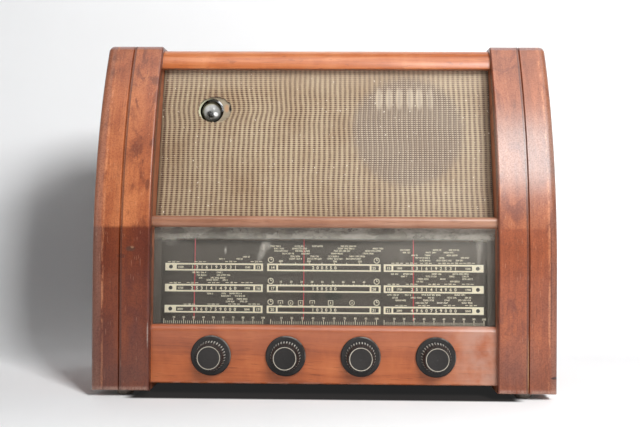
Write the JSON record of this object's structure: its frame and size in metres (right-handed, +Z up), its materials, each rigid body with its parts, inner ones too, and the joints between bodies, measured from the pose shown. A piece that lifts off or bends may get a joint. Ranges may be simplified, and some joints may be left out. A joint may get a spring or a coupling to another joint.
{
  "type": "table radio",
  "caption": "Wooden valve table radio with curved grooved wings, a sloping cloth grille with a tuning eye, a long glass dial with red pointers, and fluted knobs below.",
  "frame": {"origin": "under the middle of the radio, on the surface its feet stand on", "axes": "+X to the right as seen from the front, +Y into the radio, +Z up"},
  "size_m": [0.6, 0.2936, 0.47],
  "materials": {
    "wing_veneer": "worn satin varnish over orange-brown veneer",
    "side_veneer": "worn satin varnish over veneer",
    "inner_wood": "stained, unpolished",
    "raw_boards": "bare plywood",
    "top_veneer": "worn satin varnish over veneer",
    "front_veneer": "worn satin varnish over veneer",
    "grille_cloth": "ribbed woven cloth",
    "foot_rubber": "matt",
    "back_board": "fibreboard",
    "plated_steel": "dull plated",
    "laminate": "brown laminated board",
    "dial_glass": "clear, printed on the back",
    "dial_mask": "dusty dark card",
    "dial_backplate": "matt dark grey paint",
    "lamp": "dull",
    "carriage": "matt",
    "pointer_red": "red paint",
    "drum_plastic": "cream moulding",
    "cord": "woven cord",
    "chassis_steel": "dull zinc plate",
    "vanes": "dull",
    "iron": "dark lacquer",
    "winding": "waxed paper over wire",
    "valve_glass": "clear",
    "valve_base": "brown moulding",
    "basket": "grey paint",
    "cone_paper": "pressed paper",
    "eye_target": "phosphor dish with a dark disc",
    "knob": "brown-black moulding, dusty",
    "knob_ring": "pale gilt",
    "spindle": "bright"
  },
  "bodies": {
    "cabinet": {"left_wing_face": "wing_veneer", "right_wing_face": "wing_veneer", "left_outer_side": "side_veneer", "right_outer_side": "side_veneer", "left_inner_side": "inner_wood", "right_inner_side": "inner_wood", "base_boards": "raw_boards", "baffle_board": "raw_boards", "top_panel": "top_veneer", "top_rail": "top_veneer", "middle_rail": "front_veneer", "front_panel": "front_veneer", "grille_cloth": "grille_cloth", "feet": "foot_rubber", "mains_grommet": "foot_rubber", "back_cover": "back_board", "screws": "plated_steel", "dial_brackets": "plated_steel", "carriage_rail": "plated_steel", "eye_bracket": "plated_steel", "controls": "plated_steel", "socket_strip": "laminate", "band_switch": "laminate", "dial_glass": "dial_glass", "dial_mask": "dial_mask", "dial_backplate": "dial_backplate", "dial_lamps": "lamp", "drive_cords": "cord", "chassis": "chassis_steel", "gang_frame": "chassis_steel", "gang_stators": "vanes", "screening_cans": "vanes", "transformer_cores": "iron", "speaker_magnet": "iron", "transformer_coils": "winding", "valve_bulbs": "valve_glass", "eye_bulb": "valve_glass", "valve_bases": "valve_base", "eye_base": "valve_base", "speaker_basket": "basket", "speaker_cone": "cone_paper", "eye_target": "eye_target"},
    "drum": {"drive_drum": "drum_plastic", "gang_rotor": "vanes"},
    "carriage": {"pointer_carriage": "carriage", "pointers": "pointer_red"},
    "tone": {"tone_knob": "knob", "tone_ring": "knob_ring", "tone_spindle": "spindle"},
    "volume": {"volume_knob": "knob", "volume_ring": "knob_ring", "volume_spindle": "spindle"},
    "tuning": {"tuning_knob": "knob", "tuning_ring": "knob_ring", "tuning_spindle": "spindle"},
    "band": {"band_knob": "knob", "band_ring": "knob_ring", "band_spindle": "spindle"},
    "left_pulley": {"left_pulley": "drum_plastic"},
    "right_pulley": {"right_pulley": "drum_plastic"}
  },
  "joints": [
    {"name": "drum_turn", "type": "hinge", "parent": "cabinet", "child": "drum", "pos_m": [0, -0.08325, 0.119], "axis": [0, 1, 0], "range_deg": [-55.8, 124.2]},
    {"name": "pointer_slide", "type": "slide", "parent": "cabinet", "child": "carriage", "axis": [1, 0, 0], "range_m": [-0.0404, 0.0898]},
    {"name": "tuning_turn", "type": "hinge", "parent": "cabinet", "child": "tuning", "pos_m": [0.0485, -0.12325, 0.055], "axis": [0, 1, 0], "range_deg": [-730, 1622]},
    {"name": "left_pulley_turn", "type": "hinge", "parent": "cabinet", "child": "left_pulley", "pos_m": [-0.208, -0.08435, 0.204], "axis": [0, 1, 0], "range_deg": [-290, 644]},
    {"name": "right_pulley_turn", "type": "hinge", "parent": "cabinet", "child": "right_pulley", "pos_m": [0.208, -0.08435, 0.204], "axis": [0, 1, 0], "range_deg": [-290, 644]},
    {"name": "tone_turn", "type": "hinge", "parent": "cabinet", "child": "tone", "pos_m": [-0.1455, -0.12325, 0.055], "axis": [0, 1, 0], "range_deg": [-150, 150]},
    {"name": "volume_turn", "type": "hinge", "parent": "cabinet", "child": "volume", "pos_m": [-0.0485, -0.12325, 0.055], "axis": [0, 1, 0], "range_deg": [0, 300]},
    {"name": "band_turn", "type": "hinge", "parent": "cabinet", "child": "band", "pos_m": [0.1455, -0.12325, 0.055], "axis": [0, 1, 0], "range_deg": [-120, 120]}
  ],
  "couplings": [
    {"joint": "pointer_slide", "follows": "drum_turn", "m_per_rad": 0.0414},
    {"joint": "tuning_turn", "follows": "drum_turn", "ratio": 13.039},
    {"joint": "left_pulley_turn", "follows": "drum_turn", "ratio": 5.175},
    {"joint": "right_pulley_turn", "follows": "drum_turn", "ratio": 5.175}
  ]
}
